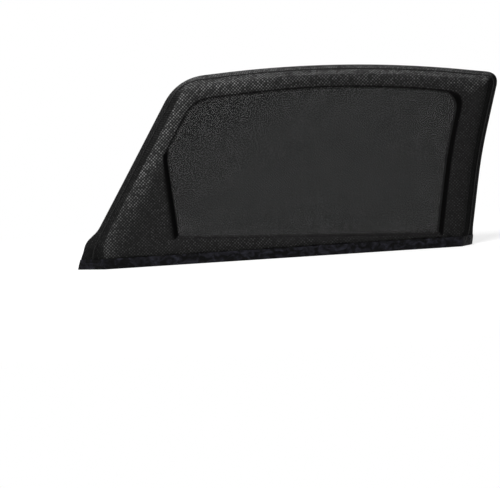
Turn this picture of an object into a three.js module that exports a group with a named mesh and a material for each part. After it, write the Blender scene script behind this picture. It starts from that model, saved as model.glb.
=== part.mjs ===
// A pull-over sunshade sleeve for a car's rear side window, in the shape that it takes when it is
// stretched over the door's window frame. Two sheets of knitted mesh, one on the cabin side and one
// on the street side, are joined by an overlocked seam around the edge. The mouth at the bottom is
// drawn in by an elastic band inside a folded, gathered hem.
//
// Millimetres, +Z up. The cabin side faces -Y and the mouth lies in the plane z = 0. The finished
// sleeve is moved so that the middle of its width and depth is on the Z axis.

import * as THREE from 'three';

// Outline on the street side, seen from the cabin: where the straight runs would cross
const frontFootX = 430;
const frontBendX = 468;
const frontBendZ = 215;
const frontTopX = 521;
const frontTopZ = 407;
const crownX = 149;
const crownZ = 466;
const rearTopX = -251;
const rearTopZ = 443;
const heelX = -468;
const heelZ = 86;
const toeX = -497;
const toeZ = 66;
const rearFootX = -517;

// How far along its runs each corner starts to round
const frontBendReach = 60;
const frontTopReach = 33;
const crownReach = 290;
const rearTopReach = 68;
const heelReach = 12;
const toeReach = 24;
const softReach = 6;

// Edge of the sleeve: its depth, and how much further out it stands on the street side
const edgeDepth = 45;
const frontFlare = 29;
const topFlare = 26;
const rearFlare = 30;
const toeFlare = 68;
const edgeBulge = 1.5;
const creaseFrontTopReach = 7;
const creaseRearTopReach = 27;
const creaseToeReach = 14;

// Window opening that the sheets dip into, and the roll of the cloth over the frame around it
const frontFrameWidth = 54;
const topFrameWidth = 33;
const rearFrameWidth = 32;
const beltFrontHeight = 11;
const beltRearHeight = 42;
const pillarFootX = -274;
const pillarTopZ = 260;
const windowFrontTopReach = 30;
const windowRearTopReach = 46;
const lipWidth = 10;
const cabinDip = 6;
const cabinRoll = 3;
const streetDip = 4;
const streetRoll = 1.5;
const rollRise = 20;

// Shares of the way from the outline to the lip where the roll stands highest and where it ends,
// how high it still is there, and where a middle row crosses the window
const rollCrest = 0.25;
const rollEnd = 0.6;
const rollEndHeight = 0.85;
const windowMiddle = 0.5;

// Outward bow of the whole sleeve between its mouth and its crown
const bowDepth = 8;

// Cloth, seam, hem and elastic
const meshThickness = 0.8;
const seamNeck = 1.2;
const seamBeadWidth = 3.6;
const seamBeadTop = 1.8;
const seamBeadHeight = 1.1;
const seamAllowance = 7;
const hemLeaf = 0.8;
const hemTuck = 6;
const gatherDepth = 2.4;
const gatherPitch = 31;
const longGatherPitch = 71;
const gatherHeight = 0.45;
const elasticThickness = 1.2;
const elasticWidth = 13;
const elasticPlay = 3.9;
const clearance = 0.3;

// Steps in the rounded corners and in the straight runs between them, from the front foot over the
// top to the rear foot, then along the mouth and around the hem
const cornerSteps = [2, 6, 12, 8, 2, 4, 4];
const runSteps = [4, 5, 3, 3, 3, 5, 2, 2];
const mouthSteps = 22;
const hemStep = 10.4;

// The most of a run that its two rounded corners may take up, the least that a ring's bisector may
// agree with its edges, and the turn in degrees from which the mouth's loop has a corner
const longestRounding = 0.96;
const leastAgreement = 0.5;
const cornerTurn = 5;

const cabinY = -edgeDepth / 2;
const streetY = edgeDepth / 2;
const panelFootZ = hemLeaf + clearance + elasticWidth + elasticPlay;
const hemHeight = panelFootZ + hemTuck;
const windowFrontZ = hemHeight + beltFrontHeight;
const windowRearZ = hemHeight + beltRearHeight;
const seamGap = seamNeck / 2 + clearance;
const slotHalf = Math.max(elasticThickness, meshThickness) / 2 + clearance;
const hemHalf = slotHalf + hemLeaf;

const corner = (x, z, reach = softReach) => ({ x, z, reach });
const mix = (from, to, share) => from + (to - from) * share;

// The point of the line through two corners that lies at a height
function atHeight(low, high, z, reach) {
  return corner(mix(low.x, high.x, (z - low.z) / (high.z - low.z)), z, reach);
}

// The corner between two runs, once each run is moved inwards by its own distance
function insetCorner(before, at, after, insetBefore, insetAfter, reach) {
  const first = new THREE.Vector2(at.x - before.x, at.z - before.z).normalize();
  const second = new THREE.Vector2(after.x - at.x, after.z - at.z).normalize();
  const along = (insetAfter - insetBefore * first.dot(second)) / first.cross(second);
  return corner(
    at.x - first.y * insetBefore - first.x * along,
    at.z + first.x * insetBefore - first.y * along,
    reach,
  );
}

// The point at a height of a run that is moved inwards
function insetFoot(low, high, inset, z) {
  const run = new THREE.Vector2(high.x - low.x, high.z - low.z).normalize();
  const moved = corner(low.x - run.y * inset, low.z + run.x * inset);
  return atHeight(moved, corner(moved.x + run.x, moved.z + run.y), z);
}

// Corners of the outer outline, from the front foot over the top to the rear foot
function streetCorners() {
  const frontBend = corner(frontBendX, frontBendZ, frontBendReach);
  const rearTop = corner(rearTopX, rearTopZ, rearTopReach);
  const heel = corner(heelX, heelZ, heelReach);
  const toe = corner(toeX, toeZ, toeReach);
  return [
    atHeight(corner(frontFootX, 0), frontBend, panelFootZ),
    frontBend,
    corner(frontTopX, frontTopZ, frontTopReach),
    corner(crownX, crownZ, crownReach),
    rearTop,
    atHeight(heel, rearTop, pillarTopZ),
    heel,
    toe,
    atHeight(corner(rearFootX, 0), toe, panelFootZ),
  ];
}

// Corners of the crease at the cabin side of the edge, which stands in from the outer outline
function creaseCorners(street) {
  const [frontFoot, frontBend, frontTop, crown, rearTop, , heel] = street;
  const creaseRearTop = insetCorner(crown, rearTop, heel, topFlare, rearFlare, creaseRearTopReach);
  const slopeFoot = insetCorner(rearTop, heel, corner(heel.x, 0), rearFlare, toeFlare);
  const slope = (creaseRearTop.z - slopeFoot.z) / (creaseRearTop.x - slopeFoot.x);
  const footX = rearFootX + toeFlare;
  const creaseToe = corner(footX, slopeFoot.z + (footX - slopeFoot.x) * slope, creaseToeReach);
  return [
    insetFoot(frontFoot, frontBend, frontFlare, panelFootZ),
    insetCorner(frontFoot, frontBend, frontTop, frontFlare, frontFlare, frontBendReach),
    insetCorner(frontBend, frontTop, crown, frontFlare, topFlare, creaseFrontTopReach),
    insetCorner(frontTop, crown, rearTop, topFlare, topFlare, crownReach),
    creaseRearTop,
    atHeight(creaseToe, creaseRearTop, pillarTopZ),
    creaseToe,
    corner(footX, mix(panelFootZ, creaseToe.z, 1 / 3)),
    corner(footX, panelFootZ),
  ];
}

// Corners of the window opening, with two spare ones down its rear pillar so that the counts agree
function windowCorners(crease) {
  const [frontFoot, frontBend, frontTop, crown, rearTop, , toe] = crease;
  const windowRearTop = insetCorner(
    crown, rearTop, toe, topFrameWidth, rearFrameWidth, windowRearTopReach,
  );
  const slopeFoot = insetFoot(toe, rearTop, -rearFrameWidth, toe.z);
  const pillarTop = atHeight(slopeFoot, windowRearTop, pillarTopZ, lipWidth);
  const pillarFoot = corner(pillarFootX, windowRearZ);
  const onPillar = (share) => corner(
    mix(pillarTop.x, pillarFoot.x, share), mix(pillarTop.z, pillarFoot.z, share),
  );
  return [
    insetFoot(frontFoot, frontBend, frontFrameWidth, windowFrontZ),
    insetCorner(frontFoot, frontBend, frontTop, frontFrameWidth, frontFrameWidth, frontBendReach),
    insetCorner(frontBend, frontTop, crown, frontFrameWidth, topFrameWidth, windowFrontTopReach),
    insetCorner(frontTop, crown, rearTop, topFrameWidth, topFrameWidth, crownReach),
    windowRearTop,
    pillarTop,
    onPillar(1 / 3),
    onPillar(2 / 3),
    pillarFoot,
  ];
}

// Points over the top from foot to foot. Each corner is a curve that starts its reach away, or less
// where the two reaches on a run are longer than the run.
function archPoints(corners) {
  const at = corners.map((c) => new THREE.Vector2(c.x, c.z));
  const last = corners.length - 1;
  const room = (i) => {
    const wanted = (i > 0 ? corners[i].reach : 0) + (i + 1 < last ? corners[i + 1].reach : 0);
    return Math.min(1, (longestRounding * at[i].distanceTo(at[i + 1])) / wanted);
  };
  const points = [at[0]];
  const addRun = (end, steps) => {
    const start = points[points.length - 1];
    for (let step = 1; step <= steps; step++) points.push(start.clone().lerp(end, step / steps));
  };
  for (let i = 1; i < last; i++) {
    const reach = corners[i].reach * Math.min(room(i - 1), room(i));
    const start = at[i - 1].clone().sub(at[i]).setLength(reach).add(at[i]);
    const end = at[i + 1].clone().sub(at[i]).setLength(reach).add(at[i]);
    addRun(start, runSteps[i - 1]);
    const curve = new THREE.QuadraticBezierCurve(start, at[i], end);
    const steps = cornerSteps[i - 1];
    for (let step = 1; step <= steps; step++) points.push(curve.getPoint(step / steps));
  }
  addRun(at[last], runSteps[last - 1]);
  return points;
}

// A closed ring: an arch, and the straight run back along the mouth from its rear foot
function ringPoints(arch) {
  const rear = arch[arch.length - 1];
  const run = [];
  for (let step = 1; step < mouthSteps; step++) {
    run.push(rear.clone().lerp(arch[0], step / mouthSteps));
  }
  return [...arch, ...run];
}

// A ring whose points are moved outwards, each along the bisector of its two edges
function offsetRing(ring, distance) {
  return ring.map((point, i) => {
    const before = point.clone().sub(ring[(i + ring.length - 1) % ring.length]).normalize();
    const after = ring[(i + 1) % ring.length].clone().sub(point).normalize();
    const bisector = new THREE.Vector2(before.y + after.y, -before.x - after.x).normalize();
    const agreement = bisector.dot(new THREE.Vector2(before.y, -before.x));
    const stretch = distance / Math.max(leastAgreement, agreement);
    return point.clone().addScaledVector(bisector, stretch);
  });
}

const mixRings = (outer, inner, share) => outer.map((p, i) => p.clone().lerp(inner[i], share));

// What stands proud of the hem's line fades out towards the hem
const aboveHem = (z) => THREE.MathUtils.smoothstep(z, hemHeight, hemHeight + rollRise);

// The bow moves every part of the sleeve towards the street by the same amount at each height
const bowAt = (z) => 4 * bowDepth * (z / crownZ) * (1 - z / crownZ);
const placed = (x, y, z) => new THREE.Vector3(x, y + bowAt(z), z);
const placeRing = (ring, yAt) => ring.map((p) => placed(p.x, yAt(p), p.y));

const street = streetCorners();
const crease = creaseCorners(street);
const streetArch = archPoints(street);
const creaseArch = archPoints(crease);
const streetRing = ringPoints(streetArch);
const creaseRing = ringPoints(creaseArch);
const windowRing = ringPoints(archPoints(windowCorners(crease)));
const lipTop = offsetRing(windowRing, lipWidth / 2);
const lipFoot = offsetRing(windowRing, -lipWidth / 2);

// Frame of the edge at each step of the arch: its middle line and the directions across and out
const edgeFrames = streetArch.map((outer, i) => {
  const inner = creaseArch[i];
  const middle = (k) => streetArch[k].clone().lerp(creaseArch[k], 0.5);
  const next = middle(Math.min(i + 1, streetArch.length - 1));
  const previous = middle(Math.max(i - 1, 0));
  const along = new THREE.Vector3(next.x - previous.x, 0, next.y - previous.y).normalize();
  const across = new THREE.Vector3(outer.x - inner.x, edgeDepth, outer.y - inner.y).normalize();
  const out = across.clone().cross(along).normalize();
  const centre = new THREE.Vector3((outer.x + inner.x) / 2, 0, (outer.y + inner.y) / 2);
  centre.addScaledVector(out, edgeBulge * aboveHem(centre.z));
  return { along, across, out, centre };
});
const onEdge = ({ across, out, centre }, u, v) => {
  const p = centre.clone().addScaledVector(across, u).addScaledVector(out, v);
  return placed(p.x, p.y, p.z);
};

// A surface of strips between rows of points, which is given a thickness once it is complete
class Cloth {
  points = [];
  faces = [];

  addRow(row) {
    return row.map((point) => this.points.push(point) - 1);
  }

  addStrip(outer, inner, closed) {
    const steps = closed ? outer.length : outer.length - 1;
    for (let i = 0; i < steps; i++) {
      const j = (i + 1) % outer.length;
      this.faces.push([outer[i], outer[j], inner[j]], [outer[i], inner[j], inner[i]]);
    }
  }

  addFan(row, centre) {
    const hub = this.points.push(centre) - 1;
    row.forEach((index, i) => this.faces.push([index, row[(i + 1) % row.length], hub]));
  }

  turnFrom(first) {
    for (let i = first; i < this.faces.length; i++) this.faces[i].reverse();
  }

  // Each point is moved half the thickness to both sides, and the open edges are closed
  thicken(thickness) {
    const normals = this.points.map(() => new THREE.Vector3());
    const edges = new Map();
    const [ab, ac] = [new THREE.Vector3(), new THREE.Vector3()];
    for (const face of this.faces) {
      const [a, b, c] = face.map((index) => this.points[index]);
      const normal = ab.subVectors(b, a).cross(ac.subVectors(c, a)).normalize().clone();
      face.forEach((index, k) => {
        const here = this.points[index];
        const to = this.points[face[(k + 1) % 3]].clone().sub(here);
        const from = this.points[face[(k + 2) % 3]].clone().sub(here);
        normals[index].addScaledVector(normal, to.angleTo(from));
        edges.set(`${index} ${face[(k + 1) % 3]}`, [index, face[(k + 1) % 3]]);
      });
    }
    normals.forEach((normal) => normal.setLength(thickness / 2));
    const count = this.points.length;
    const outside = this.points.map((point, i) => point.clone().add(normals[i]));
    const inside = this.points.map((point, i) => point.clone().sub(normals[i]));
    const faces = [...this.faces];
    for (const [a, b, c] of this.faces) faces.push([c + count, b + count, a + count]);
    for (const [from, to] of edges.values()) {
      if (edges.has(`${to} ${from}`)) continue;
      faces.push([to, from, from + count], [to, from + count, to + count]);
    }
    return solid([...outside, ...inside], faces);
  }
}

function solid(points, faces) {
  const geometry = new THREE.BufferGeometry();
  const positions = points.flatMap((p) => [p.x, p.y, p.z]);
  geometry.setAttribute('position', new THREE.Float32BufferAttribute(positions, 3));
  geometry.setIndex(faces.flat());
  geometry.computeVertexNormals();
  return geometry;
}

// A section carried through a row of places, as one closed body
function sweep(sections, closed) {
  const size = sections[0].length;
  const points = sections.flat();
  const faces = [];
  const steps = closed ? sections.length : sections.length - 1;
  for (let i = 0; i < steps; i++) {
    const here = i * size;
    const there = ((i + 1) % sections.length) * size;
    for (let k = 0; k < size; k++) {
      const n = (k + 1) % size;
      faces.push([here + k, there + k, there + n], [here + k, there + n, here + n]);
    }
  }
  return { points, faces };
}

// Rows across a sheet, from its outline to the middle of the window
function addFace(cloth, outline, edgeRow, y, side, roll, dip) {
  const centre = new THREE.Vector2((pillarFootX + frontFootX) / 2, crownZ / 2);
  const middle = lipFoot.map((p) => p.clone().lerp(centre, windowMiddle));
  const crest = (p) => side * roll * aboveHem(p.y);
  const rows = [
    [mixRings(outline, lipTop, rollCrest), (p) => y + crest(p)],
    [mixRings(outline, lipTop, rollEnd), (p) => y + crest(p) * rollEndHeight],
    [lipTop, () => y],
    [lipFoot, () => y - side * dip],
    [middle, () => y - side * dip],
  ];
  let outer = edgeRow;
  for (const [ring, yAt] of rows) {
    const inner = cloth.addRow(placeRing(ring, yAt));
    cloth.addStrip(outer, inner, true);
    outer = inner;
  }
  cloth.addFan(outer, placed(centre.x, y - side * dip, centre.y));
}

function makeCabinPanel() {
  const cloth = new Cloth();
  const ring = cloth.addRow(placeRing(creaseRing, () => cabinY));
  addFace(cloth, creaseRing, ring, cabinY, -1, cabinRoll, cabinDip);
  const seamRow = cloth.addRow(edgeFrames.map((frame) => onEdge(frame, -seamGap, 0)));
  cloth.addStrip(seamRow, ring.slice(0, creaseArch.length), false);
  return cloth.thicken(meshThickness);
}

function makeStreetPanel() {
  const cloth = new Cloth();
  const ring = cloth.addRow(placeRing(streetRing, () => streetY));
  addFace(cloth, streetRing, ring, streetY, 1, streetRoll, streetDip);
  cloth.turnFrom(0);
  const seamRow = cloth.addRow(edgeFrames.map((frame) => onEdge(frame, seamGap, 0)));
  cloth.addStrip(ring.slice(0, streetArch.length), seamRow, false);
  return cloth.thicken(meshThickness);
}

// Overlocked seam: a low bead outside, and the two allowances standing in between the sheets
function makeEdgeSeam() {
  const half = seamBeadWidth / 2;
  const halfTop = seamBeadTop / 2;
  const under = meshThickness / 2 + clearance;
  const section = [
    [seamNeck / 2, -seamAllowance],
    [seamNeck / 2, under],
    [half, under],
    [halfTop, under + seamBeadHeight],
    [-halfTop, under + seamBeadHeight],
    [-half, under],
    [-seamNeck / 2, under],
    [-seamNeck / 2, -seamAllowance],
  ];
  const frames = edgeFrames.filter(({ centre }) => centre.z > hemHeight);
  const { points, faces } = sweep(
    frames.map((frame) => section.map(([u, v]) => onEdge(frame, u, v))), false,
  );
  const outline = section.map(([u, v]) => new THREE.Vector2(u, v));
  const cap = THREE.ShapeUtils.triangulateShape(outline, []);
  const end = (frames.length - 1) * section.length;
  for (const [a, b, c] of cap) faces.push([a, b, c], [end + c, end + b, end + a]);
  return solid(points, faces);
}

// Corners in plan of the mouth at a height, around from the cabin side's rear
function mouthCorners(z) {
  const [streetFoot, streetBend] = street;
  const creaseFront = insetFoot(streetFoot, streetBend, frontFlare, z).x;
  const streetFront = atHeight(streetFoot, streetBend, z).x;
  const creaseRear = rearFootX + toeFlare;
  const streetRear = atHeight(corner(rearFootX, 0), corner(toeX, toeZ), z).x;
  return [
    new THREE.Vector2(creaseRear, cabinY),
    new THREE.Vector2(creaseFront, cabinY),
    new THREE.Vector2(streetFront, streetY),
    new THREE.Vector2(streetRear, streetY),
  ];
}

// The mouth's loop in plan at a height, with the same steps at every height
function mouthLoop(z, stepLength) {
  const corners = mouthCorners(z);
  const lengths = mouthCorners(0).map((p, i, all) => p.distanceTo(all[(i + 1) % all.length]));
  const loop = [];
  corners.forEach((from, i) => {
    const to = corners[(i + 1) % corners.length];
    const steps = Math.max(1, Math.round(lengths[i] / stepLength));
    for (let step = 0; step < steps; step++) loop.push(from.clone().lerp(to, step / steps));
  });
  return loop;
}

// Sections around the mouth, from points that stand out from its loop at a height
function mouthSections(section, stepLength) {
  const rows = section.map(([, z, spread]) => {
    const loop = mouthLoop(z, stepLength);
    const moved = offsetRing(loop, 1).map((p, i) => p.sub(loop[i]));
    return { loop, moved, z, spread };
  });
  return rows[0].loop.map((_, i) => rows.map(({ loop, moved, z, spread }, k) => {
    const out = section[k][0] + (spread ? gatherAt(i, loop) * spread : 0);
    const p = loop[i].clone().addScaledVector(moved[i], out);
    return placed(p.x, p.y, z);
  }));
}

// How far a gather stands out, from two uneven waves along the loop, none at its corners
function gatherAt(i, loop) {
  const along = i * hemStep;
  const short = Math.sin((2 * Math.PI * along) / gatherPitch);
  const long = Math.sin((2 * Math.PI * along) / longGatherPitch);
  const next = loop[(i + 1) % loop.length].clone().sub(loop[i]);
  const before = loop[i].clone().sub(loop[(i + loop.length - 1) % loop.length]);
  const onCorner = next.angleTo(before) > THREE.MathUtils.degToRad(cornerTurn);
  return onCorner ? 0 : (gatherDepth * (short + long + 2)) / 4;
}

// Hem: one folded strip around the mouth, open at the top where it takes the sheets' edges
function makeHemCasing() {
  const middle = hemHeight * gatherHeight;
  const section = [
    [slotHalf, hemHeight, 0],
    [slotHalf, middle, 1],
    [slotHalf, hemLeaf, 0],
    [-slotHalf, hemLeaf, 0],
    [-slotHalf, middle, -1],
    [-slotHalf, hemHeight, 0],
    [-hemHalf, hemHeight, 0],
    [-hemHalf, middle, -1],
    [-hemHalf, 0, 0],
    [hemHalf, 0, 0],
    [hemHalf, middle, 1],
    [hemHalf, hemHeight, 0],
  ];
  const { points, faces } = sweep(mouthSections(section, hemStep), true);
  return solid(points, faces);
}

function makeHemElastic() {
  const half = elasticThickness / 2;
  const foot = hemLeaf + clearance;
  const section = [
    [-half, foot + elasticWidth, 0],
    [-half, foot, 0],
    [half, foot, 0],
    [half, foot + elasticWidth, 0],
  ];
  const { points, faces } = sweep(mouthSections(section, edgeDepth), true);
  return solid(points, faces);
}

function addPiece(group, name, geometry, colour, roughness) {
  const material = new THREE.MeshStandardMaterial({ color: colour, roughness, metalness: 0 });
  const mesh = new THREE.Mesh(geometry, material);
  mesh.name = name;
  group.add(mesh);
}

const sunshade = new THREE.Group();
addPiece(sunshade, 'cabin_panel', makeCabinPanel(), 0x232325, 0.85);
addPiece(sunshade, 'street_panel', makeStreetPanel(), 0x1f1f21, 0.85);
addPiece(sunshade, 'edge_seam', makeEdgeSeam(), 0x2c2c2e, 0.75);
addPiece(sunshade, 'hem_casing', makeHemCasing(), 0x161617, 0.9);
addPiece(sunshade, 'hem_elastic', makeHemElastic(), 0x0e0e0f, 0.8);

const box = new THREE.Box3().setFromObject(sunshade);
sunshade.position.set(-(box.min.x + box.max.x) / 2, -(box.min.y + box.max.y) / 2, 0);

export default sunshade;
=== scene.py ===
import math
import bpy
from mathutils import Matrix, Vector, noise
from mathutils.kdtree import KDTree


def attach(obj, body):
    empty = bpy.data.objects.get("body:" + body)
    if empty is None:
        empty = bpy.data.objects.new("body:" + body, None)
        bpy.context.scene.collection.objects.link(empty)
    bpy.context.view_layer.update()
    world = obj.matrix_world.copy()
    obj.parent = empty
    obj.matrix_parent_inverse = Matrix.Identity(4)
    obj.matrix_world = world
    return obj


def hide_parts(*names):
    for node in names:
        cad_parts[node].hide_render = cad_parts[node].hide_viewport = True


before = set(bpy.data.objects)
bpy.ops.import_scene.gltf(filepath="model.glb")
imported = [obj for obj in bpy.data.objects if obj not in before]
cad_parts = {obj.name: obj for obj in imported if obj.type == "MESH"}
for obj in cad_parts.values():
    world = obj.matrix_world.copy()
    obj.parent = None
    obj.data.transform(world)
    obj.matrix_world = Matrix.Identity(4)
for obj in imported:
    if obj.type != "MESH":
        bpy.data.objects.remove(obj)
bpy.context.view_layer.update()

# Sizes are in millimetres, seen from the cabin: x towards the front of the window, y towards the
# street, z up from the mouth. The last step of each mesh turns them into the frame's metres.
sleeve = {
    "solidsStand": (2.95, -3.337),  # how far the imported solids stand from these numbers' own zero
    "depth": 45, "bow": 8, "crownHeight": 466,
    "panelFoot": 18, "hemTop": 24, "edgeBulge": 1.5, "rollRise": 20,
    "creaseRound": 4.5,
}

# Corners of the street side's outline: x, z, how far the rounding reaches, and its steps
streetOutline = {
    "frontFoot": (430, 0, 6, 1),
    "frontBend": (468, 215, 60, 6),
    "frontTop": (521, 407, 33, 18),
    "crown": (149, 466, 290, 44),
    "rearTop": (-251, 443, 68, 22),
    "heel": (-468, 86, 28, 8),
    "toe": (-497, 66, 28, 8),
    "rearFoot": (-517, 0, 6, 1),
}
runSteps = [16, 18, 10, 10, 14, 26, 6, 6]
mouthSteps = 150

# How far the cabin side's crease stands in from the outline, and its own roundings
creaseInset = {"front": 29, "top": 26, "rear": 30, "toe": 68,
               "frontTopReach": 7, "rearTopReach": 27, "toeReach": 14}

# The window opening that the cloth is drawn into, inside the crease
windowInset = {"front": 54, "top": 33, "rear": 32, "beltFront": 11, "beltRear": 42,
               "pillarFoot": -274, "pillarTop": 260, "frontTopReach": 58, "rearTopReach": 46,
               "pillarReach": 16, "lip": 10}


def mix(a, b, share):
    return a + (b - a) * share


def smooth(share):
    share = min(1.0, max(0.0, share))
    return share * share * (3 - 2 * share)


def flat(x, z):
    return Vector((x, z))


def turned(v):
    return Vector((-v.y, v.x))


def atHeight(low, high, z):
    return low.lerp(high, (z - low.y) / (high.y - low.y))


# The corner between two runs, once each run is moved inwards by its own distance
def insetCorner(before, at, after, insetBefore, insetAfter):
    first, second = (at - before).normalized(), (after - at).normalized()
    cross = first.x * second.y - first.y * second.x
    along = (insetAfter - insetBefore * first.dot(second)) / cross
    return at + turned(first) * insetBefore - first * along


def insetFoot(low, high, inset, z):
    run = (high - low).normalized()
    moved = low + turned(run) * inset
    return atHeight(moved, moved + run, z)


# A line from foot to foot over the top, with each corner rounded as far as its reach
def roundedLine(corners):
    at = [c[0] for c in corners]
    last = len(at) - 1

    def room(i):
        wanted = (corners[i][1] if i > 0 else 0) + (corners[i + 1][1] if i + 1 < last else 0)
        return min(1, 0.96 * (at[i + 1] - at[i]).length / wanted)

    line = [at[0]]

    def run(end, steps):
        start = line[-1]
        line.extend(start.lerp(end, k / steps) for k in range(1, steps + 1))

    for i in range(1, last):
        reach = corners[i][1] * min(room(i - 1), room(i))
        start = at[i] + (at[i - 1] - at[i]).normalized() * reach
        end = at[i] + (at[i + 1] - at[i]).normalized() * reach
        run(start, runSteps[i - 1])
        for k in range(1, corners[i][2] + 1):
            t = k / corners[i][2]
            line.append(start * (1 - t) ** 2 + at[i] * 2 * t * (1 - t) + end * t * t)
    run(at[last], runSteps[last - 1])
    return line


def outlines():
    o = {name: (flat(x, z), reach, steps) for name, (x, z, reach, steps) in streetOutline.items()}
    foot, pillarTop = sleeve["panelFoot"], windowInset["pillarTop"]
    bend, top, crown, rear = (o[k] for k in ("frontBend", "frontTop", "crown", "rearTop"))
    heel, toe = o["heel"], o["toe"]
    street = [
        (atHeight(o["frontFoot"][0], bend[0], foot), 6, 1), bend, top, crown, rear,
        (atHeight(heel[0], rear[0], pillarTop), 6, 6), heel, toe,
        (atHeight(o["rearFoot"][0], toe[0], foot), 6, 1),
    ]
    p = [c[0] for c in street]
    c = creaseInset
    creaseRear = insetCorner(p[3], p[4], p[6], c["top"], c["rear"])
    slopeFoot = insetCorner(p[4], p[6], flat(p[6].x, 0), c["rear"], c["toe"])
    footX = streetOutline["rearFoot"][0] + c["toe"]
    creaseToe = slopeFoot + (creaseRear - slopeFoot) * (
        (footX - slopeFoot.x) / (creaseRear.x - slopeFoot.x))
    crease = [
        (insetFoot(p[0], p[1], c["front"], foot), 6, 1),
        (insetCorner(p[0], p[1], p[2], c["front"], c["front"]), bend[1], bend[2]),
        (insetCorner(p[1], p[2], p[3], c["front"], c["top"]), c["frontTopReach"], top[2]),
        (insetCorner(p[2], p[3], p[4], c["top"], c["top"]), crown[1], crown[2]),
        (creaseRear, c["rearTopReach"], rear[2]),
        (atHeight(creaseToe, creaseRear, pillarTop), 6, 6),
        (creaseToe, c["toeReach"], heel[2]),
        (flat(footX, mix(foot, creaseToe.y, 1 / 3)), 6, toe[2]),
        (flat(footX, foot), 6, 1),
    ]
    q = [c[0] for c in crease]
    w = windowInset
    windowRear = insetCorner(q[3], q[4], q[6], w["top"], w["rear"])
    slope = insetFoot(q[6], q[4], -w["rear"], q[6].y)
    window = [
        (insetFoot(q[0], q[1], w["front"], sleeve["hemTop"] + w["beltFront"]), 6, 1),
        (insetCorner(q[0], q[1], q[2], w["front"], w["front"]), bend[1], bend[2]),
        (insetCorner(q[1], q[2], q[3], w["front"], w["top"]), w["frontTopReach"], top[2]),
        (insetCorner(q[2], q[3], q[4], w["top"], w["top"]), crown[1], crown[2]),
        (windowRear, w["rearTopReach"], rear[2]),
        (atHeight(slope, windowRear, pillarTop), w["pillarReach"], 6),
        (flat(w["pillarFoot"], sleeve["hemTop"] + w["beltRear"]), 6, 1),
    ]
    return roundedLine(street), roundedLine(crease), window


def closedRing(line):
    back = [line[-1].lerp(line[0], k / mouthSteps) for k in range(1, mouthSteps)]
    return line + back


# The window's ring, grown outwards by a distance: its pillar has steps for the heel and toe too
def windowRing(corners, by):
    at = [c[0] for c in corners]
    grown = [insetCorner(at[i - 1], p, at[(i + 1) % len(at)], -by, -by) for i, p in enumerate(at)]
    rounded = [(p, reach, steps) for p, (_, reach, steps) in zip(grown, corners)]
    heel, toe = (streetOutline[k][3] for k in ("heel", "toe"))
    pillar = [(grown[-2].lerp(grown[-1], k / 3), 6, steps) for k, steps in ((1, heel), (2, toe))]
    return closedRing(roundedLine(rounded[:-1] + pillar + rounded[-1:]))


def aboveHem(z):
    return smooth((z - sleeve["hemTop"]) / sleeve["rollRise"])


def bowAt(z):
    share = z / sleeve["crownHeight"]
    return 4 * sleeve["bow"] * share * (1 - share)


streetLine, creaseLine, windowCorners = outlines()
archCount = len(streetLine)
streetRing, creaseRing = closedRing(streetLine), closedRing(creaseLine)
lipTop = windowRing(windowCorners, windowInset["lip"] / 2)
lipFoot = windowRing(windowCorners, -windowInset["lip"] / 2)


# Directions along, across and out of the sleeve's edge at each step of its outline
def edgeSteps():
    steps = []
    for i in range(archCount):
        outer, inner = streetLine[i], creaseLine[i]
        k, j = min(i + 1, archCount - 1), max(i - 1, 0)
        way = (streetLine[k] + creaseLine[k] - streetLine[j] - creaseLine[j]) / 2
        along = Vector((way.x, 0, way.y)).normalized()
        across = Vector((outer.x - inner.x, sleeve["depth"], outer.y - inner.y))
        width = across.length
        across = across.normalized()
        out = across.cross(along).normalized()
        centre = Vector(((outer.x + inner.x) / 2, 0, (outer.y + inner.y) / 2))
        steps.append({"centre": centre, "along": along, "across": across, "out": out,
                      "width": width})
    return steps


edge = edgeSteps()


# A point on the edge: u across it from its middle line, v out of it
def onEdge(i, u, v):
    e = edge[i]
    share = 2 * u / e["width"]
    bulge = sleeve["edgeBulge"] * aboveHem(e["centre"].z) * (1 - share * share)
    return e["centre"] + e["across"] * u + e["out"] * (v + bulge)


def toFrame(point):
    dx, dy = sleeve["solidsStand"]
    return ((point.x + dx) / 1000, (point.y + dy + bowAt(point.z)) / 1000, point.z / 1000)


# Sizes of the gathered cloth's folds along, across and up the hem, with each kind's share. The
# slanting folds' sizes are along, how much they lean, and up.
gathers = {
    "warpSize": (70, 40, 30), "warp": 18,
    "wideSize": (25, 18, 48), "wideSharp": 2.1, "wideShare": 0.5,
    "slantSize": (46, 16, 11), "slantSharp": 2.4, "slantShare": 0.3,
    "fineSize": (8.5, 9, 13), "fineShare": 0.28,
}


# Folds of the gathered cloth, from 0 in a valley to 1 on a ridge, the same for all pieces there
def gatherAt(p, seed=0.0):
    g = gathers

    def foldNoise(x, size):
        return noise.noise(Vector((x / size[0], p.y / size[1] + seed, p.z / size[2])))

    warp = foldNoise(p.x, g["warpSize"]) * g["warp"]
    wide = 1 - abs(foldNoise(p.x + warp, g["wideSize"])) * g["wideSharp"]
    along, lean, up = g["slantSize"]
    slant = noise.noise(Vector(((p.x + warp) / along + p.z / lean, seed, p.z / up)))
    slanting = 1 - abs(slant) * g["slantSharp"]
    fine = foldNoise(p.x - warp, g["fineSize"])
    folds = g["wideShare"] * wide + g["slantShare"] * slanting + g["fineShare"] * fine
    return min(1.0, max(0.0, folds))


def makeObject(name, points, faces, uvs=None, values=None):
    mesh = bpy.data.meshes.new(name)
    mesh.from_pydata([toFrame(p) for p in points], [], faces)
    if uvs:
        layer = mesh.uv_layers.new(name="cloth")
        for loop in mesh.loops:
            layer.data[loop.index].uv = uvs[loop.vertex_index] / 1000
    for key, data in (values or {}).items():
        attribute = mesh.attributes.new(key, "FLOAT", "POINT")
        attribute.data.foreach_set("value", data)
    mesh.validate()
    mesh.shade_smooth()
    piece = bpy.data.objects.new(name, mesh)
    bpy.context.scene.collection.objects.link(piece)
    return piece


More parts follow.
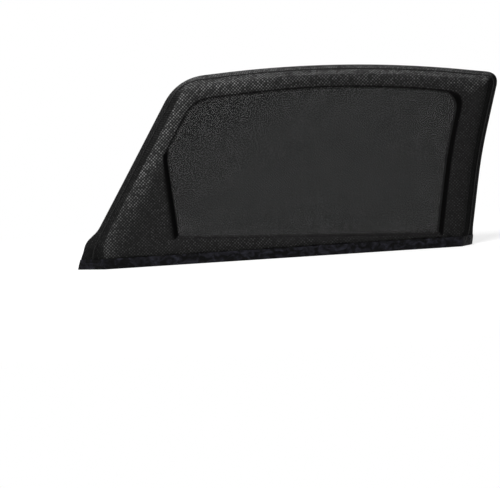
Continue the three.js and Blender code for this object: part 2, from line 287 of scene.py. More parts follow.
def thicken(piece, thickness):
    modifier = piece.modifiers.new("thickness", "SOLIDIFY")
    modifier.thickness = thickness / 1000
    modifier.offset = 0
    return piece


sheets = {
    "thickness": 0.35,
    "bandRows": 8, "roundRows": 4, "faceRows": 16, "lipRows": 8, "windowRows": 26,
    "seamGap": 0.9,
    # how far the face rolls over the frame, and how deep it dips into the window
    "cabinRoll": 3, "cabinDip": 6, "streetRoll": 1.5, "streetDip": 4,
    "gatherDepth": 1.5, "gatherFade": 24,
    "streakDepth": 0.35, "streakSize": (21, 190),
    "puckerDepth": 0.55, "puckerPitch": 9, "puckerWidth": 14, "puckerFade": 9,
    # the most of the way to the window that the rounded crease takes up, and its size by the hem
    "mostRound": 0.4, "footRound": 0.4,
    "windowSpacing": 1.25,
    # radius of the holes, in pitches of the knit
    "holeWindow": 0.236, "holeFrame": 0.10, "holeLip": 0.0,
    # how much the knit is lightened, from 0 to 1: partly the cloth stretched open over the frame's
    # ridge, partly a painted highlight, strongest down the rear slope and on the top band
    "highlightFlat": 0.12, "highlightFront": 0.02, "highlightTop": 0.4, "highlightRear": 1.0,
    "highlightBand": 0.2, "highlightTopBand": 1.0,
    "ridge": (8, 46), "rearEnds": (-120, 50), "slopeFades": (90, 240), "slopeFoot": 0.45,
    "flatFades": (-100, 300), "upFrom": 0.6, "upOver": 0.3,
    # painted shade: how dark the cloth is painted in the lip around the window, as a painted shadow
    # just over the hem, and down the two bands and at the toe
    "lipTop": 0.62, "lipBelt": 0.3, "hemShadowHeight": 4.5, "shadowBreakSize": 14, "toeFades": (40, 80),
    "lipFrom": 0.93, "lipOver": 0.07,
    "frontBandShade": 0.85, "rearBandShade": 0.36, "toeShade": 0.6,
}


# How much of the hem's gathers reaches a height: all at the panel's foot, less above it
def footFade(z):
    return math.exp(-max(0.0, z - sleeve["panelFoot"]) / sheets["gatherFade"])


# 1 where the edge faces up, 0 where it faces to the front or rear
def facesUp(i):
    out = edge[i]["out"]
    return smooth((out.z / math.hypot(out.x, out.z) - sheets["upFrom"]) / sheets["upOver"])


# painted highlight on the face, partly for the stretched cloth: strongest on the ridge by the
# crease and down the rear slope, less along the top, least at the front
def highlightOnFace(tree, p):
    s = sheets
    _, i, distance = tree.find((p.x, p.y, 0))
    ridge = 1 - smooth((distance - s["ridge"][0]) / (s["ridge"][1] - s["ridge"][0]))
    start, end = s["rearEnds"]
    rear = 1 - smooth((edge[i]["centre"].x - start) / (end - start))
    low, high = s["slopeFades"]
    slope = s["highlightRear"] * mix(s["slopeFoot"], 1, smooth((p.y - low) / (high - low)))
    onRidge = mix(mix(s["highlightFront"], s["highlightTop"], facesUp(i)), slope, rear)
    start, end = s["flatFades"]
    onFlat = mix(s["highlightFlat"], s["highlightFront"], smooth((p.x - start) / (end - start)))
    return mix(onFlat, onRidge, ridge)


def makePanel(name, side, line, ring, roll, dip):
    s, y0, seamU = sheets, side * sleeve["depth"] / 2, side * sheets["seamGap"]
    points, uvs, faces, hole, lip, stretchAndHighlight = [], [], [], [], [], []
    total = len(ring)
    tree = KDTree(archCount)
    for i, p in enumerate(line):
        tree.insert((p.x, p.y, 0), i)
    tree.balance()

    # the lip's painted shade is darkest down the front of the window and its rear pillar
    upright, lipPaintedShade = [], []
    for i, p in enumerate(lipTop):
        way = (lipTop[(i + 1) % total] - lipTop[i - 1]).normalized()
        onSlope = smooth((p.y - windowInset["pillarTop"]) / 20) if p.x < 0 else 0
        upright.append(smooth(abs(way.y)) * (1 - onSlope))
        lipPaintedShade.append(mix(s["lipTop"] if i < archCount else s["lipBelt"], 1, upright[i]))

    def add(p, uv, holeSize, paintedShade=0.0, highlight=None):
        # a painted shadow on the cloth just over the hem's top, broken up by noise
        overHem = p.z - sleeve["hemTop"] - 1
        shadowBreakAt = Vector((p.x / s["shadowBreakSize"], p.y / s["shadowBreakSize"], side * 3.0))
        shadowBreak = 0.65 + 0.7 * noise.noise(shadowBreakAt)
        shade = (1 - smooth(overHem / s["hemShadowHeight"])) * shadowBreak
        points.append(p)
        uvs.append(uv)
        hole.append(holeSize)
        lip.append(min(1.0, max(paintedShade, shade)))
        stretchAndHighlight.append(highlightOnFace(tree, uv) if highlight is None else highlight)
        return len(points) - 1

    def faceY(z, share):
        bump = math.sin(math.pi * share ** 0.6) if share < 1 else 0
        return y0 + side * roll * aboveHem(z) * bump

    def clothPoint(p, y):
        q = Vector((p.x, y, p.y))
        q.y += side * s["gatherDepth"] * footFade(q.z) * gatherAt(q)
        wide, long = s["streakSize"]
        streak = noise.noise(Vector((q.x / wide, side * 3.0, q.z / long)))
        q.y += side * s["streakDepth"] * streak * aboveHem(q.z)
        return q

    # the band from the seam to the crease, and the rounding that leads into the face
    rows = []
    edgeRound = [sleeve["creaseRound"] * max(0.1, aboveHem(line[i].y)) for i in range(archCount)]
    for k in range(s["bandRows"]):
        row = []
        for i in range(archCount):
            half = edge[i]["width"] / 2
            u = mix(seamU, side * (half - edgeRound[i]), k / (s["bandRows"] - 1))
            fromSeam = abs(u)
            puckerAt = (i * 2.6 / s["puckerPitch"], fromSeam / s["puckerWidth"], side * 5.0)
            pucker = noise.noise(Vector(puckerAt))
            v = s["puckerDepth"] * pucker * math.exp(-fromSeam / s["puckerFade"])
            p = onEdge(i, u, v * aboveHem(edge[i]["centre"].z))
            p += edge[i]["out"] * (s["gatherDepth"] * footFade(p.z) * gatherAt(p))
            out = flat(edge[i]["out"].x, edge[i]["out"].z).normalized()
            low, high = s["toeFades"]
            # painted shade down the front and rear bands and at the toe; the band's painted
            # highlight is strongest where it faces up
            paintedBandShade = max(s["frontBandShade"] * smooth(out.x), s["rearBandShade"] * smooth(-out.x),
                        s["toeShade"] * (1 - smooth((p.z - low) / (high - low))))
            row.append(add(p, line[i] + out * (half - fromSeam), s["holeFrame"], paintedBandShade,
                           mix(s["highlightBand"], s["highlightTopBand"], facesUp(i))))
        rows.append(row)
    for k in range(1, s["roundRows"]):
        t = k / s["roundRows"]
        row = []
        for i in range(archCount):
            half = edge[i]["width"] / 2
            start = onEdge(i, side * (half - edgeRound[i]), 0)
            corner = Vector((line[i].x, y0, line[i].y))
            inward = lipTop[i] - line[i]
            share = min(s["mostRound"], edgeRound[i] / inward.length)
            target = line[i] + inward * share
            end = clothPoint(target, faceY(target.y, share))
            p = start * (1 - t) ** 2 + corner * 2 * t * (1 - t) + end * t * t
            row.append(add(p, flat(p.x, p.z), s["holeFrame"]))
        rows.append(row)

    # closed rings over the face: the roll over the frame, the lip and the window
    rings = []
    for k in range(s["faceRows"] + 1):
        row = []
        for i in range(total):
            inward = lipTop[i] - ring[i]
            rounding = edgeRound[i] if i < archCount else s["footRound"]
            start = min(s["mostRound"], rounding / inward.length)
            share = mix(start, 1, k / s["faceRows"])
            p = ring[i] + inward * share
            nearLip = smooth((share - s["lipFrom"]) / s["lipOver"])
            row.append(add(clothPoint(p, faceY(p.y, share)), p,
                           mix(s["holeFrame"], s["holeLip"], nearLip),
                           nearLip * upright[i] * lipPaintedShade[i]))
        rings.append(row)
    for k in range(1, s["lipRows"] + 1):
        share = k / s["lipRows"]
        row = []
        for i in range(total):
            p = lipTop[i].lerp(lipFoot[i], share)
            leaving = smooth((share - mix(0.3, 0.8, upright[i])) / 0.2)
            row.append(add(clothPoint(p, y0 - side * dip * smooth(share)), p,
                           mix(s["holeLip"], s["holeWindow"], leaving),
                           (1 - leaving) * lipPaintedShade[i]))
        rings.append(row)
    centre = sum(lipFoot, flat(0, 0)) / total
    for k in range(1, s["windowRows"]):
        share = (k / s["windowRows"]) ** s["windowSpacing"]
        row = []
        for i in range(total):
            p = lipFoot[i].lerp(centre, share)
            row.append(add(clothPoint(p, y0 - side * dip), p, s["holeWindow"], highlight=0))
        rings.append(row)
    hub = add(clothPoint(centre, y0 - side * dip), centre, s["holeWindow"], highlight=0)

    rows.append(rings[0][:archCount])
    for outer, inner in zip(rows, rows[1:]):
        for i in range(archCount - 1):
            faces.append((outer[i], outer[i + 1], inner[i + 1], inner[i]))
    for outer, inner in zip(rings, rings[1:]):
        for i in range(total):
            j = (i + 1) % total
            faces.append((outer[i], outer[j], inner[j], inner[i]))
    faces.extend((rings[-1][i], rings[-1][(i + 1) % total], hub) for i in range(total))
    if side > 0:
        faces = [tuple(reversed(f)) for f in faces]
    values = {"holeSize": hole, "paintedShade": lip, "stretchAndHighlight": stretchAndHighlight}
    return thicken(makeObject(name, points, faces, uvs, values), s["thickness"])


cabinPanel = makePanel("cabinMesh", -1, creaseLine, creaseRing,
                       sheets["cabinRoll"], sheets["cabinDip"])
streetPanel = makePanel("streetMesh", 1, streetLine, streetRing,
                        sheets["streetRoll"], sheets["streetDip"])
print("mesh sheets made")

seam = {
    "neck": 1.2, "bead": 3.6, "height": 1.1, "under": 0.5, "allowance": 7, "footRise": 14,
    "pressed": 0.2, "wobble": 0.25, "rawEdge": 0.7, "rawFrom": -2, "beadSteps": 8,
    "stitchPitch": 3.4, "stitchReach": 2.3, "stitchLean": 1.6, "thread": 0.36,
    "leanVaries": 0.15, "stitchSteps": 6,
}


# A tube of a few sides along a short path, added to a mesh's points and faces
def addTube(points, faces, path, radius, sides=6):
    first = len(points)
    for i, p in enumerate(path):
        way = (path[min(i + 1, len(path) - 1)] - path[max(i - 1, 0)]).normalized()
        across = way.cross(Vector((0.31, 0.22, 0.93))).normalized()
        other = way.cross(across)
        for k in range(sides):
            a = 2 * math.pi * k / sides
            points.append(p + across * math.cos(a) * radius + other * math.sin(a) * radius)
    for i in range(len(path) - 1):
        for k in range(sides):
            n = (k + 1) % sides
            a, b = first + i * sides, first + (i + 1) * sides
            faces.append((a + k, a + n, b + n, b + k))
    faces.append(tuple(first + k for k in reversed(range(sides))))
    faces.append(tuple(first + (len(path) - 1) * sides + k for k in range(sides)))


def makeSeam():
    half = seam["bead"] / 2
    neck, rawFrom = seam["neck"] / 2, seam["rawFrom"]
    section = [(neck, -seam["allowance"]), (neck, rawFrom), (neck, seam["under"])]
    for k in range(seam["beadSteps"] + 1):
        a = math.pi * k / seam["beadSteps"]
        section.append((half * math.cos(a), seam["under"] + 0.1 + seam["height"] * math.sin(a)))
    section += [(-neck, seam["under"]), (-neck, rawFrom), (-neck, -seam["allowance"])]
    points, faces = [], []
    for i in range(archCount):
        wobble = seam["wobble"] * noise.noise(Vector((i * 0.9, 2.0, 7.0)))
        # pressed flat where it runs into the hem
        overFoot = edge[i]["centre"].z - sleeve["panelFoot"]
        full = mix(seam["pressed"], 1, smooth(overFoot / seam["footRise"]))
        for u, v in section:
            raw = 0
            if v < rawFrom:
                raw = seam["rawEdge"] * noise.noise(Vector((i * 0.7, v, 3.0)))
            points.append(onEdge(i, u + wobble, (v * full if v > 0 else v) + raw))
    size = len(section)
    for a in range(archCount - 1):
        for k in range(size):
            n = (k + 1) % size
            faces.append((a * size + k, a * size + n, (a + 1) * size + n, (a + 1) * size + k))
    faces.append(tuple(range(size)))
    faces.append(tuple((archCount - 1) * size + k for k in reversed(range(size))))
    return makeObject("edgeSeam", points, faces)


# Walks along the edge in equal steps: the whole and part of the outline's step at each stop
def edgeStops(pitch):
    used = [i for i in range(archCount) if edge[i]["centre"].z > sleeve["hemTop"] + 2]
    walked, wanted = 0.0, pitch
    for i, j in zip(used, used[1:]):
        length = (edge[j]["centre"] - edge[i]["centre"]).length
        while wanted < walked + length:
            yield i, (wanted - walked) / length
            wanted += pitch
        walked += length


def makeSeamStitches():
    points, faces = [], []
    reach, top = seam["stitchReach"], seam["under"] + seam["height"] + seam["thread"] * 0.9
    for count, (i, part) in enumerate(edgeStops(seam["stitchPitch"])):
        varied = seam["leanVaries"] * noise.noise(Vector((count * 1.7, 0, 0)))
        lean = seam["stitchLean"] * (1 + varied)
        path = []
        for k in range(seam["stitchSteps"] + 1):
            t = k / seam["stitchSteps"]
            u = mix(-reach, reach, t)
            v = mix(seam["under"], top, math.sin(math.pi * t) ** 0.6)
            p = onEdge(i, u, v).lerp(onEdge(i + 1, u, v), part)
            path.append(p + edge[i]["along"] * lean * (t - 0.5) * 2)
        addTube(points, faces, path, seam["thread"])
    return makeObject("seamStitches", points, faces)


edgeSeam = makeSeam()
seamStitches = makeSeamStitches()
print("seam made")

hem = {
    "leaf": 0.7, "slot": 1.3, "height": 24,
    "foldDepth": 3.6, "topWobble": 1.6,
    "step": 2.6, "leafRows": 12,
    "leastPush": 0.35, "cornerReach": 12, "lowest": 0.36, "rowPitch": 2.3,
    "stitchHeight": 20.3, "stitchPitch": 4.4, "stitchLength": 3.0, "thread": 0.3,
    "stitchSteps": 4, "stitchSides": 5, "stitchSink": 0.35, "stitchProud": 0.15,
    "stitchWander": 0.5,
}
elastic = {"width": 13, "thickness": 1.1, "foot": 1.2, "ribs": 6, "ribDepth": 0.22, "step": 9}


# Corners in plan of the mouth at a height, around from the cabin side's rear
def mouthCorners(z):
    foot, bend = (flat(*streetOutline[k][:2]) for k in ("frontFoot", "frontBend"))
    toe, rear = (flat(*streetOutline[k][:2]) for k in ("toe", "rearFoot"))
    half = sleeve["depth"] / 2
    footLine = atHeight(foot, bend, sleeve["panelFoot"])
    creaseFront = insetFoot(footLine, bend, creaseInset["front"], z).x
    return [flat(rear.x + creaseInset["toe"], -half), flat(creaseFront, -half),
            flat(atHeight(foot, bend, z).x, half), flat(atHeight(rear, toe, z).x, half)]


def mouthLoop(z, step):
    corners, lengths = mouthCorners(z), []
    low = mouthCorners(0)
    for i in range(4):
        lengths.append((low[(i + 1) % 4] - low[i]).length)
    loop = []
    for i in range(4):
        count = max(3, round(lengths[i] / step))
        for k in range(count):
            p = corners[i].lerp(corners[(i + 1) % 4], k / count)
            loop.append((p, min(k, count - k) * step))
    outs = []
    for i, (p, _) in enumerate(loop):
        way = loop[(i + 1) % len(loop)][0] - loop[i - 1][0]
        outs.append(-turned(way).normalized())
    return [(p, out, near) for (p, near), out in zip(loop, outs)]


# How far a leaf of the hem stands from its middle: less at its foot, its top and the corners
def hemPush(share, gather, near, fold=1.0):
    room = mix(hem["leastPush"], 1, math.sin(math.pi * min(1.0, share * 0.85 + 0.08)))
    atCorner = mix(hem["leastPush"], 1, smooth(near / hem["cornerReach"]))
    return hem["slot"] + hem["foldDepth"] * fold * gather * room * atCorner


def makeHem():
    top, rows = hem["height"], hem["leafRows"]
    section = [(1, mix(top, 1.5, k / rows), 1.0) for k in range(rows + 1)]
    section += [(math.cos(a), 0.35 + 1.0 * (1 - math.sin(a)), 0.3)
                for a in (math.pi * k / 6 for k in range(1, 6))]
    section += [(-1, mix(1.5, top, k / rows), 0.55) for k in range(rows + 1)]
    points, faces, uvs = [], [], []
    for row, (sideShare, z, fold) in enumerate(section):
        loop = mouthLoop(z, hem["step"])
        for i, (p, out, near) in enumerate(loop):
            here = Vector((p.x, p.y, z))
            g = gatherAt(here, 0.0 if sideShare > 0 else 4.0)
            share = min(1.0, z / top)
            q = p + out * (sideShare * hemPush(share, g, near, fold))
            lift = hem["topWobble"] * (g - 0.5) * share * share
            points.append(Vector((q.x, q.y, max(hem["lowest"], z + lift))))
            uvs.append(flat(i * hem["step"], row * hem["rowPitch"]))
    size = len(mouthLoop(0, hem["step"]))
    for a in range(len(section) - 1):
        for i in range(size):
            j = (i + 1) % size
            faces.append((a * size + i, a * size + j, (a + 1) * size + j, (a + 1) * size + i))
    faces = [tuple(reversed(f)) for f in faces]
    return thicken(makeObject("hemCasing", points, faces, uvs), hem["leaf"])


def makeHemStitches():
    points, faces = [], []
    z = hem["stitchHeight"]
    loop = mouthLoop(z, hem["stitchPitch"])
    for i, (p, out, near) in enumerate(loop):
        nextPoint = loop[(i + 1) % len(loop)][0]
        way = (nextPoint - p).normalized()
        path = []
        for k in range(hem["stitchSteps"] + 1):
            t = k / hem["stitchSteps"]
            q = p + way * (hem["stitchLength"] * t)
            here = Vector((q.x, q.y, z))
            push = hemPush(z / hem["height"], gatherAt(here), near)
            sink = hem["stitchSink"] * math.cos(2 * math.pi * t)
            q = q + out * (push + hem["leaf"] / 2 + hem["stitchProud"] - sink)
            wander = hem["stitchWander"] * noise.noise(Vector((i * 1.3, t, 9)))
            path.append(Vector((q.x, q.y, z + wander)))
        addTube(points, faces, path, hem["thread"], hem["stitchSides"])
    return makeObject("hemStitches", points, faces)


def makeElastic():
    e = elastic
    rows = e["ribs"] * 4
    section = []
    for side in (1, -1):
        for k in range(rows + 1):
            share = k / rows if side > 0 else 1 - k / rows
            rib = e["ribDepth"] * math.cos(2 * math.pi * e["ribs"] * share)
            section.append((side * (e["thickness"] / 2 + rib - e["ribDepth"]),
                            e["foot"] + e["width"] * share))
    loops = [mouthLoop(z, e["step"]) for _, z in section]
    points, faces, uvs = [], [], []
    size = len(section)
    for i in range(len(loops[0])):
        for k, (offset, z) in enumerate(section):
            p, out, _ = loops[k][i]
            q = p + out * offset
            points.append(Vector((q.x, q.y, z)))
            uvs.append(flat(i * e["step"], z))
    count = len(loops[0])
    for i in range(count):
        a, b = i * size, ((i + 1) % count) * size
        for k in range(size):
            n = (k + 1) % size
            faces.append((a + k, b + k, b + n, a + n))
    return makeObject("elasticBand", points, faces, uvs)


hemCasing = makeHem()
hemStitches = makeHemStitches()
elasticBand = makeElastic()
print("hem made")


def newMaterial(name):
    material = bpy.data.materials.new(name)
    material.use_nodes = True
    nodes, links = material.node_tree.nodes, material.node_tree.links
    return material, nodes, links, nodes["Principled BSDF"]


def grey(value, blue=0.0):
    return (value, value, value * (1 + blue), 1)


# What every knit shares: where holes, knots, threads and patches start and end, and their relief
knitShape = {
    "lattice": 45, "holeEdge": (-0.07, 0.04), "knotEdge": (0.46, 0.12), "threadEdge": (0.5, 0.2),
    "knotHeight": 0.8, "leastGlint": 0.12, "patchScale": 34, "patchEdge": (0.42, 0.95),
}


# A knit: holes on a staggered lattice, and a coarser lattice of knots for relief and painted glints
def knitGroup():
    group = bpy.data.node_groups.new("knit", "ShaderNodeTree")
    face = group.interface
    face.new_socket("Vector", in_out="INPUT", socket_type="NodeSocketVector")
    for name, value in (("Holes per metre", 660.0), ("Knots per metre", 235.0),
                        ("Hole size", 0.2), ("Unevenness", 0.1)):
        face.new_socket(name, in_out="INPUT", socket_type="NodeSocketFloat").default_value = value
    for name in ("Thread", "Knot", "Glint", "Height", "Patches"):
        face.new_socket(name, in_out="OUTPUT", socket_type="NodeSocketFloat")
    nodes, links = group.nodes, group.links
    start, end = nodes.new("NodeGroupInput"), nodes.new("NodeGroupOutput")

    turn = nodes.new("ShaderNodeVectorRotate")
    turn.rotation_type = "Z_AXIS"
    turn.inputs["Angle"].default_value = math.radians(knitShape["lattice"])
    links.new(start.outputs["Vector"], turn.inputs["Vector"])

    def lattice(perMetre):
        scale = nodes.new("ShaderNodeVectorMath")
        scale.operation = "SCALE"
        links.new(turn.outputs["Vector"], scale.inputs[0])
        links.new(start.outputs[perMetre], scale.inputs["Scale"])
        cells = nodes.new("ShaderNodeTexVoronoi")
        cells.voronoi_dimensions = "2D"
        cells.inputs["Scale"].default_value = 1
        links.new(start.outputs["Unevenness"], cells.inputs["Randomness"])
        links.new(scale.outputs["Vector"], cells.inputs["Vector"])
        return cells.outputs["Distance"], cells.outputs["Color"]

    def between(value, low, high, source=None):
        step = nodes.new("ShaderNodeMapRange")
        step.interpolation_type = "SMOOTHSTEP"
        links.new(value, step.inputs["Value"])
        step.inputs["From Min"].default_value = low
        step.inputs["From Max"].default_value = high
        if source is not None:
            links.new(source[0], step.inputs["From Min"])
            links.new(source[1], step.inputs["From Max"])
        return step.outputs["Result"]

    def shifted(value, by):
        add = nodes.new("ShaderNodeMath")
        add.operation = "ADD"
        links.new(value, add.inputs[0])
        add.inputs[1].default_value = by
        return add.outputs[0]

    holes, _ = lattice("Holes per metre")
    size = start.outputs["Hole size"]
    thread = between(holes, 0, 1, [shifted(size, by) for by in knitShape["holeEdge"]])
    links.new(thread, end.inputs["Thread"])

    knots, tint = lattice("Knots per metre")
    knot = between(knots, *knitShape["knotEdge"])
    links.new(knot, end.inputs["Knot"])
    relief = nodes.new("ShaderNodeMath")
    relief.operation = "MULTIPLY_ADD"
    links.new(knot, relief.inputs[0])
    relief.inputs[1].default_value = knitShape["knotHeight"]
    links.new(between(holes, *knitShape["threadEdge"]), relief.inputs[2])
    links.new(relief.outputs[0], end.inputs["Height"])

    # each knot's painted glint has its own brightness, from its own tint
    split = nodes.new("ShaderNodeSeparateColor")
    links.new(tint, split.inputs["Color"])
    own = nodes.new("ShaderNodeMapRange")
    own.inputs["To Min"].default_value = knitShape["leastGlint"]
    links.new(split.outputs["Red"], own.inputs["Value"])
    glint = nodes.new("ShaderNodeMath")
    glint.operation = "MULTIPLY"
    links.new(knot, glint.inputs[0])
    links.new(own.outputs["Result"], glint.inputs[1])
    links.new(glint.outputs[0], end.inputs["Glint"])

    patches = nodes.new("ShaderNodeTexNoise")
    patches.noise_dimensions = "2D"
    patches.inputs["Scale"].default_value = knitShape["patchScale"]
    patches.inputs["Detail"].default_value = 3
    links.new(start.outputs["Vector"], patches.inputs["Vector"])
    links.new(between(patches.outputs["Fac"], *knitShape["patchEdge"]), end.inputs["Patches"])
    return group


knit = knitGroup()


def attributeNode(nodes, name):
    node = nodes.new("ShaderNodeAttribute")
    node.attribute_name = name
    return node.outputs["Fac"]


def mixColour(nodes, links, factor, a, b):
    node = nodes.new("ShaderNodeMix")
    node.data_type = "RGBA"
    links.new(factor, node.inputs["Factor"])
    for socket, value in ((node.inputs[6], a), (node.inputs[7], b)):
        if isinstance(value, tuple):
            socket.default_value = value
        else:
            links.new(value, socket)
    return node.outputs[2]


# Relief, roughness and shine of a cloth or thread, from its own values
def finishSurface(nodes, links, shader, height, look):
    bump = nodes.new("ShaderNodeBump")
    bump.inputs["Strength"].default_value = look["bump"]
    bump.inputs["Distance"].default_value = look["bumpDepth"]
    links.new(height, bump.inputs["Height"])
    links.new(bump.outputs["Normal"], shader.inputs["Normal"])
    shader.inputs["Roughness"].default_value = look["roughness"]
    shader.inputs["Specular IOR Level"].default_value = look["specular"]


def knitCloth(name, spec):
    material, nodes, links, shader = newMaterial(name)
    uv = nodes.new("ShaderNodeUVMap")
    uv.uv_map = "cloth"
    turn = nodes.new("ShaderNodeVectorRotate")
    turn.rotation_type = "Z_AXIS"
    turn.inputs["Angle"].default_value = math.radians(spec["turn"])
    links.new(uv.outputs["UV"], turn.inputs["Vector"])
    pattern = nodes.new("ShaderNodeGroup")
    pattern.node_tree = knit
    links.new(turn.outputs["Vector"], pattern.inputs["Vector"])
    pattern.inputs["Holes per metre"].default_value = spec["holes"]
    pattern.inputs["Knots per metre"].default_value = spec["knots"]
    pattern.inputs["Unevenness"].default_value = spec["unevenness"]
    links.new(attributeNode(nodes, "holeSize"), pattern.inputs["Hole size"])
    stretchAndHighlight = attributeNode(nodes, "stretchAndHighlight")
    # the yarn and knots lighten with the painted highlight, and the knots' brighter colour is a
    # painted glint
    yarn = mixColour(nodes, links, stretchAndHighlight, spec["yarn"], spec["highlightYarn"])
    knot = mixColour(nodes, links, stretchAndHighlight, spec["knot"], spec["highlightKnot"])
    knitted = mixColour(nodes, links, pattern.outputs["Glint"], yarn, knot)
    patched = mixColour(nodes, links, pattern.outputs["Patches"], knitted, spec["patch"])
    # painted shade in the lip, just over the hem and down the bands
    shaded = mixColour(nodes, links, attributeNode(nodes, "paintedShade"), patched, spec["lip"])
    links.new(shaded, shader.inputs["Base Color"])
    links.new(pattern.outputs["Thread"], shader.inputs["Alpha"])
    finishSurface(nodes, links, shader, pattern.outputs["Height"], spec)
    return material


# knot colours are painted glints, the highlight colours a painted highlight, lip the painted shade
cabinCloth = {"holes": 660, "knots": 180, "unevenness": 0.1, "turn": 0,
              "yarn": grey(0.0125), "knot": grey(0.03),
              "highlightYarn": grey(0.024), "highlightKnot": grey(0.27),
              "patch": grey(0.018), "lip": grey(0.002),
              "bump": 0.4, "bumpDepth": 0.0006, "roughness": 0.62, "specular": 0.02}
streetCloth = cabinCloth | {"holes": 640, "turn": 29}  # turned, so that the two don't make rings

seamLook = {"colour": grey(0.018), "dark": grey(0.006), "fibres": 900,
            "bump": 0.5, "bumpDepth": 0.0004, "roughness": 0.55, "specular": 0.15}
threadLook = seamLook | {"colour": grey(0.035), "dark": grey(0.012), "fibres": 1400}
hemThreadLook = seamLook | {"fibres": 1400}
elasticLook = seamLook | {"colour": grey(0.02), "dark": grey(0.008), "fibres": 700}
# shine is a painted highlight colour, put on the raised crinkles
hemLook = {"colour": grey(0.012, 0.1), "dark": grey(0.002), "shine": grey(0.034, 0.35),
           "holes": 900, "knots": 420, "unevenness": 0.2,
           "crinkles": 48, "crinkleEdge": (0.4, 0.8), "crinkleHeight": 9,
           "bump": 0.8, "bumpDepth": 0.0005, "roughness": 0.45, "specular": 0.06}


# Twisted fibres, as a mask that runs from dark to light
def fibreGroup():
    group = bpy.data.node_groups.new("fibre", "ShaderNodeTree")
    face = group.interface
    face.new_socket("Vector", in_out="INPUT", socket_type="NodeSocketVector")
    scale = face.new_socket("Fibres per metre", in_out="INPUT", socket_type="NodeSocketFloat")
    scale.default_value = 900
    face.new_socket("Shade", in_out="OUTPUT", socket_type="NodeSocketFloat")
    nodes, links = group.nodes, group.links
    start, end = nodes.new("NodeGroupInput"), nodes.new("NodeGroupOutput")
    fibre = nodes.new("ShaderNodeTexNoise")
    fibre.inputs["Detail"].default_value = 4
    links.new(start.outputs["Vector"], fibre.inputs["Vector"])
    links.new(start.outputs["Fibres per metre"], fibre.inputs["Scale"])
    links.new(fibre.outputs["Fac"], end.inputs["Shade"])
    return group


fibre = fibreGroup()


def threadMaterial(name, look):
    material, nodes, links, shader = newMaterial(name)
    place = nodes.new("ShaderNodeTexCoord")
    pattern = nodes.new("ShaderNodeGroup")
    pattern.node_tree = fibre
    pattern.inputs["Fibres per metre"].default_value = look["fibres"]
    links.new(place.outputs["Object"], pattern.inputs["Vector"])
    links.new(mixColour(nodes, links, pattern.outputs["Shade"], look["dark"], look["colour"]),
              shader.inputs["Base Color"])
    finishSurface(nodes, links, shader, pattern.outputs["Shade"], look)
    return material


def hemMaterial():
    material, nodes, links, shader = newMaterial("hem cloth")
    uv = nodes.new("ShaderNodeUVMap")
    uv.uv_map = "cloth"
    pattern = nodes.new("ShaderNodeGroup")
    pattern.node_tree = knit
    links.new(uv.outputs["UV"], pattern.inputs["Vector"])
    pattern.inputs["Holes per metre"].default_value = hemLook["holes"]
    pattern.inputs["Knots per metre"].default_value = hemLook["knots"]
    pattern.inputs["Unevenness"].default_value = hemLook["unevenness"]
    crinkle = nodes.new("ShaderNodeTexNoise")
    crinkle.inputs["Scale"].default_value = hemLook["crinkles"]
    crinkle.inputs["Detail"].default_value = 4
    crinkle.inputs["Distortion"].default_value = 1.3
    links.new(uv.outputs["UV"], crinkle.inputs["Vector"])
    raised = nodes.new("ShaderNodeMapRange")
    raised.interpolation_type = "SMOOTHSTEP"
    raised.inputs["From Min"].default_value = hemLook["crinkleEdge"][0]
    raised.inputs["From Max"].default_value = hemLook["crinkleEdge"][1]
    links.new(crinkle.outputs["Fac"], raised.inputs["Value"])
    yarn = mixColour(nodes, links, pattern.outputs["Knot"], hemLook["dark"], hemLook["colour"])
    # painted highlight: the raised crinkles take the shine colour
    links.new(mixColour(nodes, links, raised.outputs["Result"], yarn, hemLook["shine"]),
              shader.inputs["Base Color"])
    relief = nodes.new("ShaderNodeMath")
    relief.operation = "MULTIPLY_ADD"
    links.new(crinkle.outputs["Fac"], relief.inputs[0])
    relief.inputs[1].default_value = hemLook["crinkleHeight"]
    links.new(pattern.outputs["Height"], relief.inputs[2])
    finishSurface(nodes, links, shader, relief.outputs[0], hemLook)
    return material


cabinPanel.data.materials.append(knitCloth("cabin mesh cloth", cabinCloth))
streetPanel.data.materials.append(knitCloth("street mesh cloth", streetCloth))
edgeSeam.data.materials.append(threadMaterial("seam cloth", seamLook))
seamStitches.data.materials.append(threadMaterial("seam thread", threadLook))
hemCasing.data.materials.append(hemMaterial())
hemStitches.data.materials.append(threadMaterial("hem thread", hemThreadLook))
elasticBand.data.materials.append(threadMaterial("elastic weave", elasticLook))
print("materials made")

for piece, node, slot in (
        (cabinPanel, "cabin_panel", "mesh_cloth"), (streetPanel, "street_panel", "mesh_cloth"),
        (edgeSeam, "edge_seam", "seam_thread"), (hemCasing, "hem_casing", "hem_cloth"),
        (elasticBand, "hem_elastic", "elastic")):
    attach(piece, "root")
    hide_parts(node)
for piece in (seamStitches, hemStitches):
    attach(piece, "root")

studio = {
    "floorSize": 60, "floorNear": 0.6, "floorFar": 1.7,
    "floorColour": 0.55, "floorGlow": 0.62,
    "world": 0.2,
}
lamps = {
    "key": {"place": (-0.6, -2.0, 2.55), "target": (0, 0, 0.25), "size": 1.3, "power": 84},
    "back": {"place": (-0.9, 1.9, 1.9), "target": (0, 0, 0.3), "size": 1.2, "power": 30},
}


def larger(nodes, links, a, b):
    node = nodes.new("ShaderNodeMath")
    node.operation = "MAXIMUM"
    links.new(a, node.inputs[0])
    links.new(b, node.inputs[1])
    return node.outputs[0]


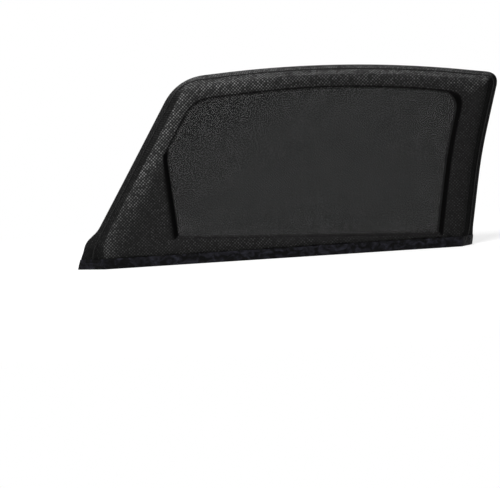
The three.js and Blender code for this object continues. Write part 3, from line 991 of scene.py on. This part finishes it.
def makeFloor():
    half = studio["floorSize"] / 2
    mesh = bpy.data.meshes.new("floor")
    mesh.from_pydata([(-half, -half, 0), (half, -half, 0), (half, half, 0), (-half, half, 0)], [],
                     [(0, 1, 2, 3)])
    floor = bpy.data.objects.new("floor", mesh)
    bpy.context.scene.collection.objects.link(floor)
    material, nodes, links, shader = newMaterial("floor")
    nodes.remove(shader)
    output = nodes["Material Output"]
    path = nodes.new("ShaderNodeLightPath")
    mirrored = larger(nodes, links, path.outputs["Is Glossy Ray"],
                      path.outputs["Is Transmission Ray"])
    seen = larger(nodes, links, path.outputs["Is Camera Ray"], mirrored)

    plain = nodes.new("ShaderNodeBsdfDiffuse")
    plain.inputs["Color"].default_value = grey(studio["floorColour"])
    glow = nodes.new("ShaderNodeEmission")
    glow.inputs["Strength"].default_value = studio["floorGlow"]
    near = nodes.new("ShaderNodeAddShader")
    links.new(plain.outputs[0], near.inputs[0])
    links.new(glow.outputs[0], near.inputs[1])
    far = nodes.new("ShaderNodeEmission")
    far.inputs["Strength"].default_value = 1

    place = nodes.new("ShaderNodeTexCoord")
    distance = nodes.new("ShaderNodeVectorMath")
    distance.operation = "LENGTH"
    links.new(place.outputs["Object"], distance.inputs[0])
    fade = nodes.new("ShaderNodeMapRange")
    fade.interpolation_type = "SMOOTHSTEP"
    fade.inputs["From Min"].default_value = studio["floorNear"]
    fade.inputs["From Max"].default_value = studio["floorFar"]
    links.new(distance.outputs["Value"], fade.inputs["Value"])
    white = nodes.new("ShaderNodeMixShader")
    links.new(fade.outputs["Result"], white.inputs[0])
    links.new(near.outputs[0], white.inputs[1])
    links.new(far.outputs[0], white.inputs[2])
    choose = nodes.new("ShaderNodeMixShader")
    links.new(seen, choose.inputs[0])
    links.new(plain.outputs[0], choose.inputs[1])
    links.new(white.outputs[0], choose.inputs[2])
    links.new(choose.outputs[0], output.inputs["Surface"])
    mesh.materials.append(material)


def makeWorld():
    world = bpy.data.worlds.new("studio")
    bpy.context.scene.world = world
    world.use_nodes = True
    nodes, links = world.node_tree.nodes, world.node_tree.links
    light = nodes["Background"]
    light.inputs["Color"].default_value = grey(1)
    light.inputs["Strength"].default_value = studio["world"]
    shown = nodes.new("ShaderNodeBackground")
    shown.inputs["Color"].default_value = grey(1)
    shown.inputs["Strength"].default_value = 1
    path = nodes.new("ShaderNodeLightPath")
    seen = larger(nodes, links, path.outputs["Is Camera Ray"],
                  path.outputs["Is Transmission Ray"])
    choose = nodes.new("ShaderNodeMixShader")
    links.new(seen, choose.inputs[0])
    links.new(light.outputs[0], choose.inputs[1])
    links.new(shown.outputs[0], choose.inputs[2])
    links.new(choose.outputs[0], nodes["World Output"].inputs["Surface"])


def addLamp(name, place, target, size, power):
    data = bpy.data.lights.new(name, "AREA")
    data.shape = "SQUARE"
    data.size = size
    data.energy = power
    lamp = bpy.data.objects.new(name, data)
    lamp.location = place
    lamp.rotation_euler = (Vector(target) - Vector(place)).to_track_quat("-Z", "Y").to_euler()
    bpy.context.scene.collection.objects.link(lamp)


# The camera stands level with the upper part of the cabin side and a little behind its middle
view = {
    "lens": 120.5, "place": (-98.6, -3993.6, 315.9), "down": 4.0, "roll": 3.7,
}


def makeCamera():
    data = bpy.data.cameras.new("camera")
    data.lens, data.sensor_width, data.sensor_fit = view["lens"], 36, "HORIZONTAL"
    camera = bpy.data.objects.new("camera", data)
    down, roll = math.radians(view["down"]), math.radians(view["roll"])
    forward = Vector((0, math.cos(down), -math.sin(down)))
    level, up = Vector((1, 0, 0)), Vector((0, math.sin(down), math.cos(down)))
    right = level * math.cos(roll) - up * math.sin(roll)
    above = level * math.sin(roll) + up * math.cos(roll)
    turn = Matrix((right, above, -forward)).transposed().to_4x4()
    turn.translation = Vector(view["place"]) / 1000
    camera.matrix_world = turn
    bpy.context.scene.collection.objects.link(camera)
    bpy.context.scene.camera = camera


makeFloor()
makeWorld()
for lampName, values in lamps.items():
    addLamp(lampName, **values)
makeCamera()
bpy.context.scene.view_settings.view_transform = "Standard"
print("studio made")
